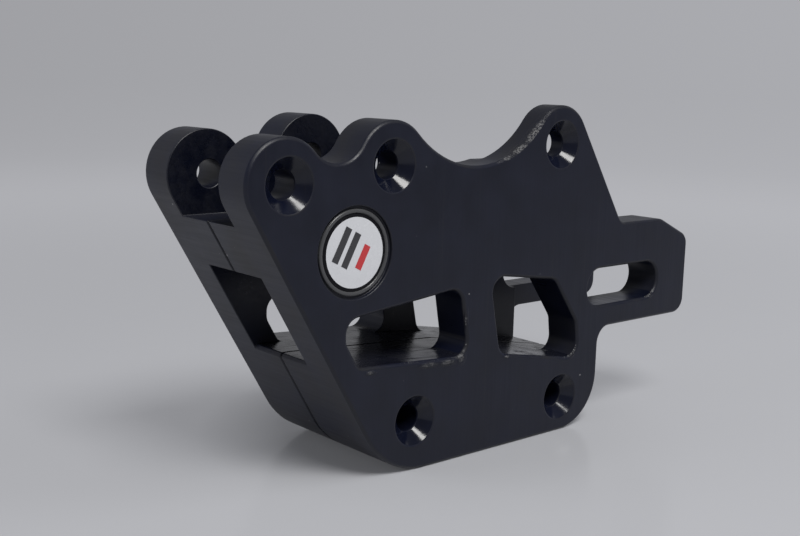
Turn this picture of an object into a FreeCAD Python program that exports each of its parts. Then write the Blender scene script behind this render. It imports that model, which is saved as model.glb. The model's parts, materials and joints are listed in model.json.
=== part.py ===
"""Motorcycle chain guide: two machined halves that meet on a parting plane, and a round badge disc.

Frame: X runs along the plates, Z is up, and the parting plane is Y = 0. The outer half, which has
the badge, lies on the -Y side. Sizes are in millimetres. In the sketches X starts at the left end
of the guide; each body is then moved so that the guide is centred on the origin.
"""
import FreeCAD, Part
import math
import os

import Sketcher

V = FreeCAD.Vector

# Driving dimensions: name, value, what it is
SIZES = [
    ("half_width", 22.5, "parting plane to the outer face of a half"),
    ("wall", 11.0, "side wall of a half"),
    ("edge_break", 0.6, "chamfer round the outer face"),
    ("seam_break", 0.5, "chamfer where the halves meet on the slanted end"),
    ("lead_in", 1.2, "chamfer on the mouth of the chain floor"),
    ("ear_one_radius", 11.0, "first ear, which also sets how far its centre is from the left end"),
    ("ear_one_height", 75.0, "first ear's centre and hole above the bottom"),
    ("ear_one_hole_offset", 0.8, "first ear's hole past the ear's centre, along the plate"),
    ("ear_two_pitch", 31.5, "first ear's centre to the second's hole, along the plate"),
    ("ear_two_height", 78.4, "second ear's hole above the bottom"),
    ("ear_two_radius", 11.0, "second ear"),
    ("ear_three_pitch", 60.4, "second ear's hole to the third's, along the plate"),
    ("ear_three_height", 82.2, "third ear's hole above the bottom"),
    ("ear_three_radius", 10.7, "third ear"),
    ("ear_three_thickness", 7.5, "third ear, thinned from the inside"),
    ("ear_three_ledge", 3.9, "ledge of that thinning below the third ear's hole"),
    ("valley_one_depth", 6.5, "dip between the first two ears, below the lower of their tops"),
    ("valley_two_depth", 11.9, "dip between the last two ears, below the lower of their tops"),
    ("shoulder_height", 70.0, "level top edge of the inner half, which has no third ear"),
    ("shoulder_hollow", 12.0, "inside corner between that edge and the second ear"),
    ("shoulder_radius", 6.0, "corner between that edge and the right flank"),
    ("end_lean", 30.4, "slanted left end, degrees from upright"),
    ("toe_radius", 22.0, "bottom left corner"),
    ("heel_radius", 15.0, "bottom right corner"),
    ("body_end", 122.9, "right end of the two blocks"),
    ("tab_bottom", 28.3, "underside of the tail tab"),
    ("tab_top", 58.7, "top of the tail tab"),
    ("tab_end", 164.2, "right end of the tail tab, which is the guide's length"),
    ("tab_root", 131.0, "where the plate's right flank meets the line of the tab's top"),
    ("tab_root_radius", 4.0, "inside corner above the tab"),
    ("tab_under_radius", 5.0, "inside corner below the tab"),
    ("tab_slope_length", 13.8, "sloped end of the tab's top, along the plate"),
    ("tab_slope_drop", 6.2, "sloped end of the tab's top, down"),
    ("tab_slope_radius", 6.0, "corner where the slope starts"),
    ("tab_nose_radius", 4.0, "corner where the slope ends"),
    ("tab_low_radius", 4.5, "lower corner of the tab's end"),
    ("inner_tab_wall", 8.5, "tail tab of the inner half, thinned from the inside"),
    ("slot_inset", 20.0, "tab's end to the slot's right centre"),
    ("slot_length", 21.6, "slot between its centres"),
    ("slot_height", 40.4, "slot's middle above the bottom"),
    ("slot_radius", 5.5, "half of the slot's width"),
    ("floor_start", 28.0, "where the chain floor starts to fall; it is level from the mouth to here"),
    ("floor_entry", 30.1, "chain floor at the left mouth"),
    ("floor_bend", 76.4, "where the chain floor's two slopes meet, between the windows"),
    ("floor_bend_height", 27.2, "chain floor at that bend"),
    ("floor_exit", 18.9, "chain floor at the right mouth"),
    ("roof_height", 52.3, "roof of the chain tunnel"),
    ("clevis_floor", 65.0, "floor of the gap between the ears"),
    ("bore_diameter", 7.0, "screw holes"),
    ("sink_diameter", 13.3, "countersinks"),
    ("sink_angle", 90.0, "countersinks, degrees"),
    ("front_screw_place", 51.2, "lower left screw along the plate"),
    ("front_screw_height", 13.2, "lower left screw above the bottom"),
    ("rear_screw_place", 106.8, "lower right screw along the plate"),
    ("rear_screw_height", 10.0, "lower right screw above the bottom"),
    ("badge_place", 31.0, "badge along the plate"),
    ("badge_height", 58.2, "badge above the bottom"),
    ("badge_diameter", 21.0, "badge disc"),
    ("badge_gap", 0.75, "gap round the badge disc"),
    ("badge_thickness", 0.7, "badge disc"),
    ("recess_depth", 1.0, "badge recess"),
    ("window_one_left", 28.9, "first window's left side"),
    ("window_one_left_top", 41.9, "height of its upper left corner"),
    ("window_one_left_foot", 32.7, "its lower left corner along the plate"),
    ("window_one_right_foot", 69.7, "its lower right corner along the plate"),
    ("window_one_right_head", 66.3, "its upper right corner along the plate"),
    ("window_one_right_top", 46.0, "height of its upper right corner"),
    ("window_one_radius", 4.0, "its corners"),
    ("window_one_toe_radius", 2.5, "its lower left corner"),
    ("window_two_left_head", 77.2, "second window's upper left corner along the plate"),
    ("window_two_left_top", 48.1, "height of its upper left corner"),
    ("window_two_left_foot", 81.8, "its lower left corner along the plate"),
    ("window_two_right_foot", 114.0, "its lower right corner along the plate"),
    ("window_two_waist", 112.6, "corner on its right side along the plate"),
    ("window_two_waist_height", 31.2, "height of that corner"),
    ("window_two_right_head", 102.8, "its upper right corner along the plate"),
    ("window_two_right_top", 44.6, "height of its upper right corner"),
    ("window_two_radius", 4.0, "its corners"),
]

PAST = 20.0     # how far a cutting outline runs past the part
NEAR = 1e-4     # two lengths closer than this are the same
SPARE = 0.95    # share of a side that its two corner arcs may take

doc = FreeCAD.newDocument("chain_guide")
sheet = doc.addObject("Spreadsheet::Sheet", "Sizes")
for row, (alias, value, note) in enumerate(SIZES, start=1):
    sheet.set(f"A{row}", note)
    sheet.set(f"B{row}", str(value))
    sheet.setAlias(f"B{row}", alias)
doc.recompute()


class Term:
    """A length made from the driving dimensions: its value and the formula that gives it."""

    def __init__(self, formula, value):
        self.formula = formula
        self.value = value

    def __add__(self, other):
        other = term(other)
        return Term(f"({self.formula} + {other.formula})", self.value + other.value)

    def __sub__(self, other):
        other = term(other)
        return Term(f"({self.formula} - {other.formula})", self.value - other.value)

    def __mul__(self, other):
        other = term(other)
        return Term(f"({self.formula} * {other.formula})", self.value * other.value)

    def __truediv__(self, other):
        other = term(other)
        return Term(f"({self.formula} / {other.formula})", self.value / other.value)


def term(given):
    """A term from a driving dimension's name or from a plain number."""
    if isinstance(given, Term):
        return given
    if isinstance(given, str):
        return Term(f"Sizes.{given}", float(sheet.get(given)))
    return Term(f"({given:.6f})", float(given))


def lesser(one, two):
    return Term(f"min({one.formula}; {two.formula})", min(one.value, two.value))


def bind(item, path, given):
    """Tie a property or a sketch dimension to the sheet."""
    item.setExpression(path, term(given).formula)


# Tangent outlines

class Straight:
    """A line that an outline runs along: a point on it and the direction of travel."""

    def __init__(self, start, towards):
        self.point = V(start[0], start[1], 0)
        self.way = (V(towards[0], towards[1], 0) - self.point).normalize()
        self.left = V(-self.way.y, self.way.x, 0)

    def foot(self, point):
        return self.point + self.way * (point - self.point).dot(self.way)


class Round:
    """A circle that an outline runs along: turn is 1 for anticlockwise, -1 for clockwise."""

    def __init__(self, centre, radius, turn):
        self.centre = V(centre[0], centre[1], 0)
        self.size = radius
        self.radius = radius.value if isinstance(radius, Term) else radius
        self.turn = turn


def crossing(one, two):
    """Where two lines meet."""
    gap = two.point - one.point
    across = one.way.x * two.way.y - one.way.y * two.way.x
    return one.point + one.way * ((gap.x * two.way.y - gap.y * two.way.x) / across)


def corner(before, after, given):
    """The arc that rounds the corner between two lines."""
    radius = term(given)
    bend = before.way.x * after.way.y - before.way.y * after.way.x
    turn = 1 if bend > 0 else -1
    shifted = []
    for line in (before, after):
        point = line.point + line.left * (radius.value * turn)
        shifted.append(Straight(point, point + line.way))
    return Round(crossing(*shifted), radius, turn)


def valley(one, two, bottom):
    """The hollow arc that touches two ears and has its lowest point at a given height."""
    terms = []
    for ear in (one, two):
        rise = 2 * (ear.centre.y + ear.radius - bottom)
        drop = (bottom - ear.centre.y) ** 2 - ear.radius ** 2
        terms.append((ear.centre.x, drop, rise))
    (x_one, drop_one, rise_one), (x_two, drop_two, rise_two) = terms
    square = rise_two - rise_one
    linear = 2 * (rise_one * x_two - rise_two * x_one)
    plain = rise_two * (x_one ** 2 + drop_one) - rise_one * (x_two ** 2 + drop_two)
    if abs(square) < NEAR:
        places = [-plain / linear]
    else:
        root = math.sqrt(linear ** 2 - 4 * square * plain)
        places = [(-linear + root) / (2 * square), (-linear - root) / (2 * square)]
    low, high = sorted((x_one, x_two))
    place = next(x for x in places if low < x < high)
    radius = ((place - x_one) ** 2 + drop_one) / rise_one
    return Round((place, bottom + radius), radius, -1)


def hollow_beside(line, ear, given):
    """The hollow arc between a level line, travelled leftwards, and an ear that stands on it."""
    radius = term(given)
    height = line.point.y + radius.value
    reach = math.sqrt((ear.radius + radius.value) ** 2 - (height - ear.centre.y) ** 2)
    return Round((ear.centre.x + reach, height), radius, -1)


def tangent_from(start, ear):
    """The line from a point that touches an ear and has the ear on its left."""
    gap = ear.centre - start
    angle = math.atan2(gap.y, gap.x) - math.asin(ear.radius / gap.Length)
    return Straight(start, start + V(math.cos(angle), math.sin(angle), 0))


def touch(before, after):
    """The point where two neighbours in a tangent outline meet."""
    if isinstance(before, Straight):
        return before.foot(after.centre)
    if isinstance(after, Straight):
        return after.foot(before.centre)
    gap = after.centre - before.centre
    return before.centre + gap * (before.radius / (before.radius + after.radius))


# Sketches

def new_sketch(body, name, offset=None):
    """A sketch on the parting plane, or on a plane at a distance from it towards -Y."""
    sketch = body.newObject("Sketcher::SketchObject", name)
    plane = next(p for p in body.Origin.OriginFeatures if p.Role == "XZ_Plane")
    sketch.AttachmentSupport = (plane, "")
    sketch.MapMode = "FlatFace"
    if offset:
        bind(sketch, "AttachmentOffset.Base.z", offset)
    return sketch


def fix(sketch, *what):
    return sketch.addConstraint(Sketcher.Constraint(*what))


def dimension(sketch, kind, where, given):
    """A sketch dimension tied to the sheet."""
    number = fix(sketch, kind, *where, given.value)
    bind(sketch, f"Constraints[{number}]", given)


def locate(sketch, geometry, point, place, height):
    """Dimension a sketch point from the left end and from the bottom."""
    dimension(sketch, "DistanceX", (-1, 1, geometry, point), place)
    dimension(sketch, "DistanceY", (-1, 1, geometry, point), height)


def arc_between(centre, radius, first, last):
    """The anticlockwise arc from one point on a circle to another."""
    angles = []
    for point in (first, last):
        angles.append(math.atan2(point.y - centre.y, point.x - centre.x))
    return Part.ArcOfCircle(Part.Circle(centre, V(0, 0, 1), radius), *angles)


def draw(sketch, pieces):
    """Draw a closed tangent outline. Gives the sketch number of each piece."""
    count = len(pieces)
    touches = [touch(pieces[i - 1], pieces[i]) for i in range(count)]
    ends = []
    for i, piece in enumerate(pieces):
        start = touches[i]
        finish = touches[(i + 1) % count]
        if isinstance(piece, Straight):
            curve = Part.LineSegment(start, finish)
            order = (1, 2)
        elif piece.turn > 0:
            curve = arc_between(piece.centre, piece.radius, start, finish)
            order = (1, 2)
        else:
            curve = arc_between(piece.centre, piece.radius, finish, start)
            order = (2, 1)
        ends.append((sketch.addGeometry(curve, False), *order))
    for i in range(count):
        one = ends[i - 1]
        two = ends[i]
        fix(sketch, "Tangent", one[0], one[2], two[0], two[1])
    for end, piece in zip(ends, pieces):
        if isinstance(piece, Round) and isinstance(piece.size, Term):
            dimension(sketch, "Radius", (end[0],), piece.size)
    return {id(piece): end[0] for piece, end in zip(pieces, ends)}


def draw_polygon(sketch, corners):
    """A closed polygon, each corner given as place, height and radius.

    A radius too large for the sides beside it is limited to what they leave.
    """
    spots = [(term(place), term(height), term(radius)) for place, height, radius in corners]
    points = [V(place.value, height.value, 0) for place, height, _ in spots]
    count = len(spots)
    sides = [Straight(points[i], points[(i + 1) % count]) for i in range(count)]
    slopes = []
    for i in range(count):
        slopes.append(math.tan((math.pi - sides[i - 1].way.getAngle(sides[i].way)) / 2))
    pieces = []
    for i in range(count):
        own = spots[i][2].value / slopes[i]
        limits = []
        for other in (i - 1, (i + 1) % count):
            side = points[i].distanceToPoint(points[other])
            share = own / (own + spots[other][2].value / slopes[other])
            limits.append(SPARE * side * share * slopes[i])
        radius = lesser(spots[i][2], term(min(limits)))
        pieces += [corner(sides[i - 1], sides[i], radius), sides[i]]
    numbers = draw(sketch, pieces)
    for i, (place, height, _) in enumerate(spots):
        mark = sketch.addGeometry(Part.Point(points[i]), True)
        for side in (sides[i - 1], sides[i]):
            fix(sketch, "PointOnObject", mark, 1, numbers[id(side)])
        locate(sketch, mark, 1, place, height)


def draw_chain(sketch, points):
    """A closed outline of straight lines through points given as place and height."""
    spots = [(term(place), term(height)) for place, height in points]
    count = len(spots)
    lines = []
    for i in range(count):
        start = V(spots[i][0].value, spots[i][1].value, 0)
        after = spots[(i + 1) % count]
        finish = V(after[0].value, after[1].value, 0)
        lines.append(sketch.addGeometry(Part.LineSegment(start, finish), False))
    for i in range(count):
        fix(sketch, "Coincident", lines[i - 1], 2, lines[i], 1)
    for line, (place, height) in zip(lines, spots):
        locate(sketch, line, 1, place, height)


def draw_circles(sketch, places, diameter):
    """Circles of one diameter at given places."""
    for place, height in places:
        centre = V(place.value, height.value, 0)
        number = sketch.addGeometry(Part.Circle(centre, V(0, 0, 1), diameter.value / 2), False)
        dimension(sketch, "Diameter", (number,), diameter)
        locate(sketch, number, 3, place, height)


# Places that several features share

EAR_ONE = (term("ear_one_radius"), term("ear_one_height"))
EAR_TWO = (EAR_ONE[0] + "ear_two_pitch", term("ear_two_height"))
EAR_THREE = (EAR_TWO[0] + "ear_three_pitch", term("ear_three_height"))
EAR_ONE_HOLE = (EAR_ONE[0] + "ear_one_hole_offset", EAR_ONE[1])
FRONT_SCREW = (term("front_screw_place"), term("front_screw_height"))
REAR_SCREW = (term("rear_screw_place"), term("rear_screw_height"))
BADGE = (term("badge_place"), term("badge_height"))
TOP_ONE = EAR_ONE[1] + "ear_one_radius"
TOP_TWO = EAR_TWO[1] + "ear_two_radius"
TOP_THREE = EAR_THREE[1] + "ear_three_radius"
GAP_DEPTH = term("half_width") - "wall"
LEAN = math.tan(math.radians(term("end_lean").value))
END_SLOPE = Term("tan(Sizes.end_lean * 1 deg)", LEAN)
FLOOR_FALL = (term("floor_entry") - "floor_bend_height") / (term("floor_bend") - "floor_start")
EXIT_FALL = (term("floor_bend_height") - "floor_exit") / (term("body_end") - "floor_bend")


def entry_floor(place):
    """Height of the chain floor's first slope."""
    return term("floor_entry") - (term(place) - "floor_start") * FLOOR_FALL


def exit_floor(place):
    """Height of the chain floor's second slope."""
    return term("floor_bend_height") - (term(place) - "floor_bend") * EXIT_FALL


def draw_outline(sketch, third_ear):
    """A plate's outline, anticlockwise from the bottom edge, with or without the third ear."""
    value = {name: term(name).value for name, _, _ in SIZES}
    slope_start = term("tab_end") - "tab_slope_length"
    slope_finish = term("tab_top") - "tab_slope_drop"
    bottom = Straight((0, 0), (1, 0))
    back = Straight((value["body_end"], 0), (value["body_end"], 1))
    under = Straight((0, value["tab_bottom"]), (1, value["tab_bottom"]))
    end = Straight((value["tab_end"], 0), (value["tab_end"], 1))
    slope = Straight((value["tab_end"], slope_finish.value), (slope_start.value, value["tab_top"]))
    top = Straight((1, value["tab_top"]), (0, value["tab_top"]))
    ears = []
    for (place, height), radius in ((EAR_ONE, "ear_one_radius"), (EAR_TWO, "ear_two_radius"),
                                    (EAR_THREE, "ear_three_radius")):
        ears.append(Round((place.value, height.value), term(radius), 1))
    root = V(value["tab_root"], value["tab_top"], 0)
    lean = math.radians(value["end_lean"])
    down = V(math.sin(lean), -math.cos(lean), 0)
    edge = ears[0].centre + V(down.y, -down.x, 0) * ears[0].radius
    slant = Straight(edge, edge + down)
    level_one = lesser(TOP_ONE, TOP_TWO) - "valley_one_depth"
    level_two = lesser(TOP_TWO, TOP_THREE) - "valley_two_depth"
    dips = [(valley(ears[1], ears[0], level_one.value), level_one)]
    flank = tangent_from(root, ears[2])
    if third_ear:
        dips.append((valley(ears[2], ears[1], level_two.value), level_two))
        upper = [flank, ears[2], dips[1][0], ears[1]]
    else:
        shoulder = Straight((1, value["shoulder_height"]), (0, value["shoulder_height"]))
        upper = [flank, corner(flank, shoulder, "shoulder_radius"), shoulder,
                 hollow_beside(shoulder, ears[1], "shoulder_hollow"), ears[1]]
    lower = [bottom, corner(bottom, back, "heel_radius"),
             back, corner(back, under, "tab_under_radius"),
             under, corner(under, end, "tab_low_radius"),
             end, corner(end, slope, "tab_nose_radius"),
             slope, corner(slope, top, "tab_slope_radius"),
             top, corner(top, flank, "tab_root_radius")]
    left = [dips[0][0], ears[0], slant, corner(slant, bottom, "toe_radius")]
    numbers = draw(sketch, lower + upper + left)
    for line in (bottom, under, top):
        fix(sketch, "Horizontal", numbers[id(line)])
    for line in (back, end):
        fix(sketch, "Vertical", numbers[id(line)])
    fix(sketch, "PointOnObject", numbers[id(bottom)], 1, -1)
    for line, kind, name in ((back, "DistanceX", "body_end"), (under, "DistanceY", "tab_bottom"),
                             (end, "DistanceX", "tab_end"), (top, "DistanceY", "tab_top")):
        dimension(sketch, kind, (-1, 1, numbers[id(line)], 1), term(name))
    for ear, place in zip(ears, (EAR_ONE, EAR_TWO, EAR_THREE)):
        if id(ear) in numbers:
            locate(sketch, numbers[id(ear)], 3, *place)
    if not third_ear:
        fix(sketch, "Horizontal", numbers[id(shoulder)])
        where = (-1, 1, numbers[id(shoulder)], 1)
        dimension(sketch, "DistanceY", where, term("shoulder_height"))
        circle = Part.Circle(ears[2].centre, V(0, 0, 1), ears[2].radius)
        ghost = sketch.addGeometry(circle, True)
        dimension(sketch, "Radius", (ghost,), ears[2].size)
        locate(sketch, ghost, 3, *EAR_THREE)
        fix(sketch, "Tangent", numbers[id(flank)], ghost)
    foot = sketch.addGeometry(Part.Point(root), True)
    fix(sketch, "PointOnObject", foot, 1, numbers[id(flank)])
    locate(sketch, foot, 1, term("tab_root"), term("tab_top"))
    brow = sketch.addGeometry(Part.Point(V(slope_start.value, value["tab_top"], 0)), True)
    fix(sketch, "PointOnObject", brow, 1, numbers[id(slope)])
    locate(sketch, brow, 1, slope_start, term("tab_top"))
    nose = sketch.addGeometry(Part.Point(V(value["tab_end"], slope_finish.value, 0)), True)
    fix(sketch, "PointOnObject", nose, 1, numbers[id(slope)])
    locate(sketch, nose, 1, term("tab_end"), slope_finish)
    slant_angle = Term("((Sizes.end_lean - 90) * 1 deg)", lean - math.pi / 2)
    dimension(sketch, "Angle", (numbers[id(slant)],), slant_angle)
    for dip, level in dips:
        low = sketch.addGeometry(Part.Point(V(dip.centre.x, level.value, 0)), True)
        fix(sketch, "PointOnObject", low, 1, numbers[id(dip)])
        fix(sketch, "Vertical", low, 1, numbers[id(dip)], 3)
        dimension(sketch, "DistanceY", (-1, 1, low, 1), level)


def draw_slot(sketch):
    """The tab's slot, straight with round ends."""
    finish = term("tab_end") - "slot_inset"
    start = finish - "slot_length"
    height = term("slot_height")
    radius = term("slot_radius")
    low = height.value - radius.value
    high = height.value + radius.value
    ends = []
    for place in (finish, start):
        ends.append(Round((place.value, height.value), radius, 1))
    pieces = [Straight((0, low), (1, low)), ends[0], Straight((1, high), (0, high)), ends[1]]
    numbers = draw(sketch, pieces)
    for arc, place in zip(ends, (finish, start)):
        locate(sketch, numbers[id(arc)], 3, place, height)


# The bodies

def new_body(label):
    body = doc.addObject("PartDesign::Body", label)
    body.Label = label
    bind(body, "Placement.Base.x", term("tab_end") * -0.5)
    return body


def cut(body, sketch, towards_minus_y, depth=None):
    """A pocket from a sketch, to a depth or right through. It must take material away."""
    doc.recompute()
    before = body.Shape.Volume
    pocket = body.newObject("PartDesign::Pocket", sketch.Name + "_cut")
    pocket.Profile = sketch
    pocket.Reversed = towards_minus_y
    if depth:
        pocket.Type = "Length"
        bind(pocket, "Length", depth)
    else:
        pocket.Type = "ThroughAll"
    doc.recompute()
    if body.Shape.Volume > before - NEAR:
        raise RuntimeError(f"{sketch.Name} cuts nothing")


def bevel(body, name, given, wanted):
    """A chamfer on the edges that a test picks."""
    base = body.Tip
    edges = base.Shape.Edges
    picked = [f"Edge{i}" for i, edge in enumerate(edges, start=1) if wanted(edge)]
    if not picked:
        raise RuntimeError(f"{name} finds no edge")
    chamfer = body.newObject("PartDesign::Chamfer", name)
    chamfer.Base = (base, picked)
    bind(chamfer, "Size", given)
    doc.recompute()


def build_half(label, outer):
    """One half of the guide. The outer half has the third ear, countersinks and badge recess."""
    body = new_body(label)
    outline = new_sketch(body, label + "_outline")
    draw_outline(outline, outer)
    doc.recompute()
    pad = body.newObject("PartDesign::Pad", label + "_plate")
    pad.Profile = outline
    pad.Reversed = not outer
    bind(pad, "Length", "half_width")

    far_right = term("tab_end") + PAST
    far_top = TOP_THREE + PAST
    tunnel = new_sketch(body, label + "_tunnel")
    draw_chain(tunnel, [(-PAST, "roof_height"), (-PAST, "floor_entry"),
                        ("floor_start", "floor_entry"), ("floor_bend", "floor_bend_height"),
                        ("body_end", "floor_exit"), ("body_end", -PAST), (far_right, -PAST),
                        (far_right, far_top), ("body_end", far_top), ("body_end", "roof_height")])
    cut(body, tunnel, outer, GAP_DEPTH)
    clevis = new_sketch(body, label + "_clevis")
    draw_chain(clevis, [(-PAST, "clevis_floor"), (far_right, "clevis_floor"),
                        (far_right, far_top), (-PAST, far_top)])
    cut(body, clevis, outer, GAP_DEPTH)

    # The windows' sills lie flush with the chain floor
    sill = entry_floor("window_one_left_foot")
    slant_run = term("window_one_left_foot") - "window_one_left"
    first = new_sketch(body, label + "_window_one")
    draw_polygon(first, [
        ("window_one_left_foot", sill, "window_one_toe_radius"),
        ("window_one_right_foot", entry_floor("window_one_right_foot"), "window_one_radius"),
        ("window_one_right_head", "window_one_right_top", "window_one_radius"),
        ("window_one_left", "window_one_left_top", "window_one_radius"),
        ("window_one_left", sill + slant_run / END_SLOPE, "window_one_radius")])
    cut(body, first, outer)
    second = new_sketch(body, label + "_window_two")
    draw_polygon(second, [
        ("window_two_left_foot", exit_floor("window_two_left_foot"), "window_two_radius"),
        ("window_two_right_foot", exit_floor("window_two_right_foot"), "window_two_radius"),
        ("window_two_waist", "window_two_waist_height", "window_two_radius"),
        ("window_two_right_head", "window_two_right_top", "window_two_radius"),
        ("window_two_left_head", "window_two_left_top", "window_two_radius")])
    cut(body, second, outer)
    slot = new_sketch(body, label + "_slot")
    draw_slot(slot)
    cut(body, slot, outer)

    places = [EAR_ONE_HOLE, EAR_TWO, FRONT_SCREW, REAR_SCREW]
    if outer:
        middle = EAR_TWO[0] + term("ear_three_pitch") / 2
        ledge = EAR_THREE[1] - "ear_three_ledge"
        relief = new_sketch(body, label + "_relief")
        draw_chain(relief, [(middle, ledge), (far_right, ledge),
                            (far_right, far_top), (middle, far_top)])
        cut(body, relief, outer, term("half_width") - "ear_three_thickness")
        recess = new_sketch(body, label + "_recess", "half_width")
        draw_circles(recess, [BADGE], term("badge_diameter") + term("badge_gap") * 2)
        cut(body, recess, False, "recess_depth")
        screws = new_sketch(body, label + "_screws", "half_width")
        draw_circles(screws, places + [EAR_THREE], term("bore_diameter"))
        doc.recompute()
        holes = body.newObject("PartDesign::Hole", label + "_holes")
        holes.Profile = screws
        doc.recompute()
        holes.ThreadType = "None"
        holes.DepthType = "ThroughAll"
        holes.HoleCutType = "Countersink"
        holes.HoleCutCustomValues = True
        bind(holes, "Diameter", "bore_diameter")
        bind(holes, "HoleCutDiameter", "sink_diameter")
        bind(holes, "HoleCutCountersinkAngle", "sink_angle")
        doc.recompute()
    else:
        tail = new_sketch(body, label + "_tail")
        draw_chain(tail, [("body_end", -PAST), (far_right, -PAST),
                          (far_right, far_top), ("body_end", far_top)])
        cut(body, tail, outer, term("half_width") - "inner_tab_wall")
        screws = new_sketch(body, label + "_screws")
        draw_circles(screws, places, term("bore_diameter"))
        cut(body, screws, outer)

    side = -1 if outer else 1
    face_y = side * term("half_width").value
    lean = math.radians(term("end_lean").value)
    ear_radius = term("ear_one_radius").value
    slant_way = V(math.cos(lean), 0, math.sin(lean))
    slant_at = V(EAR_ONE[0].value, 0, EAR_ONE[1].value).dot(slant_way) - ear_radius

    def on_slant(vertex):
        return abs(vertex.Point.dot(slant_way) - slant_at) < NEAR

    def on_face(edge):
        flat = all(abs(v.Point.y - face_y) < NEAR for v in edge.Vertexes)
        return flat and len(edge.Vertexes) == 2

    def on_mouth(edge):
        ends = edge.Vertexes
        level = all(abs(v.Point.z - term("floor_entry").value) < NEAR for v in ends)
        return level and all(on_slant(v) for v in ends)

    def on_seam(edge):
        ends = edge.Vertexes
        return all(abs(v.Point.y) < NEAR and on_slant(v) for v in ends)

    bevel(body, label + "_edge", "edge_break", on_face)
    bevel(body, label + "_mouth", "lead_in", on_mouth)
    bevel(body, label + "_seam", "seam_break", on_seam)
    return body


def build_badge():
    """The badge disc, seated on the floor of its recess."""
    body = new_body("badge_disc")
    sketch = new_sketch(body, "badge_outline", term("half_width") - "recess_depth")
    draw_circles(sketch, [BADGE], term("badge_diameter"))
    pad = body.newObject("PartDesign::Pad", "badge_plate")
    pad.Profile = sketch
    bind(pad, "Length", "badge_thickness")
    return body


bodies = [build_half("outer_half", True), build_half("inner_half", False), build_badge()]
doc.recompute()

for item in doc.Objects:
    if "Invalid" in item.State or "Error" in item.State:
        raise RuntimeError(f"{item.Label} is {item.State}")
os.makedirs("parts", exist_ok=True)
for body in bodies:
    shape = body.Shape
    if shape.isNull() or not shape.isValid() or len(shape.Solids) != 1:
        raise RuntimeError(f"{body.Label} is not one valid solid")
    shape.exportStep(f"parts/{body.Label}.step")
    box = shape.BoundBox
    print(body.Label, round(shape.Volume, 1), [round(value, 2) for value in (
        box.XMin, box.XMax, box.YMin, box.YMax, box.ZMin, box.ZMax)])
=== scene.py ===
"""Looks of a machined motorcycle chain guide: satin black halves, a round badge and a pale studio."""

import json
import math

import bmesh
import bpy
from bpy.props import FloatProperty, FloatVectorProperty, IntProperty, PointerProperty
from mathutils import Matrix, Vector

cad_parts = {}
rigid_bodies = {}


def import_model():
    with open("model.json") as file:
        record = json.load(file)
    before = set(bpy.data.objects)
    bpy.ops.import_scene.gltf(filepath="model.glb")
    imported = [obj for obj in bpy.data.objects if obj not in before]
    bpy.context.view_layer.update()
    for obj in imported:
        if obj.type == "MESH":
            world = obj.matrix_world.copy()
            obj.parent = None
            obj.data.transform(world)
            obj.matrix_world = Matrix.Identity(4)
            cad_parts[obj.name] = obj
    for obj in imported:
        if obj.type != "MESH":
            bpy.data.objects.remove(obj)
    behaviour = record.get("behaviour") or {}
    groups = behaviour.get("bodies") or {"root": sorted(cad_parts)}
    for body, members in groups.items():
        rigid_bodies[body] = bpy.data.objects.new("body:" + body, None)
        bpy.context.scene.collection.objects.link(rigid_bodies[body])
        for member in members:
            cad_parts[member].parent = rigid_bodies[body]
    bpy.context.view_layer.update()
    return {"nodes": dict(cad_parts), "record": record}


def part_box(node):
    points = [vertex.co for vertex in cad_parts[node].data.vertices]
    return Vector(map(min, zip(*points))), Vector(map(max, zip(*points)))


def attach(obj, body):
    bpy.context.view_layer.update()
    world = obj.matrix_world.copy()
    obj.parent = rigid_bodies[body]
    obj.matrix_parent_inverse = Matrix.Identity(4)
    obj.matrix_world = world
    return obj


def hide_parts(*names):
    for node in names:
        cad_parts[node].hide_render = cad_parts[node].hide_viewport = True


bl_info = {
    "name": "Chain guide looks",
    "version": (1, 0, 0),
    "blender": (4, 5, 0),
    "location": "View3D > Sidebar > Guide",
    "description": "Finishes a motorcycle chain guide and sets it in a pale studio",
    "category": "Object",
}

BODY = "root"
MM = 0.001

for leftover in list(bpy.data.objects):
    bpy.data.objects.remove(leftover)
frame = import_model()


# Settings

def colour_property(name, description, default):
    """A colour, as linear red, green and blue."""
    return FloatVectorProperty(name=name, description=description, default=default, size=3,
                               min=0.0, max=1.0, subtype="COLOR")


def length_property(name, description, default):
    """A length, in metres."""
    return FloatProperty(name=name, description=description, default=default, min=0.0,
                         unit="LENGTH", subtype="DISTANCE", precision=5)


def factor_property(name, description, default):
    """A share from nothing to one."""
    return FloatProperty(name=name, description=description, default=default, min=0.0, max=1.0,
                         subtype="FACTOR")


def power_property(name, description, default):
    """A lamp's power, in watts."""
    return FloatProperty(name=name, description=description, default=default, min=0.0, unit="POWER")


def angle_property(name, description, degrees):
    """An angle, given in degrees."""
    return FloatProperty(name=name, description=description, default=math.radians(degrees),
                         subtype="ANGLE")


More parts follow.
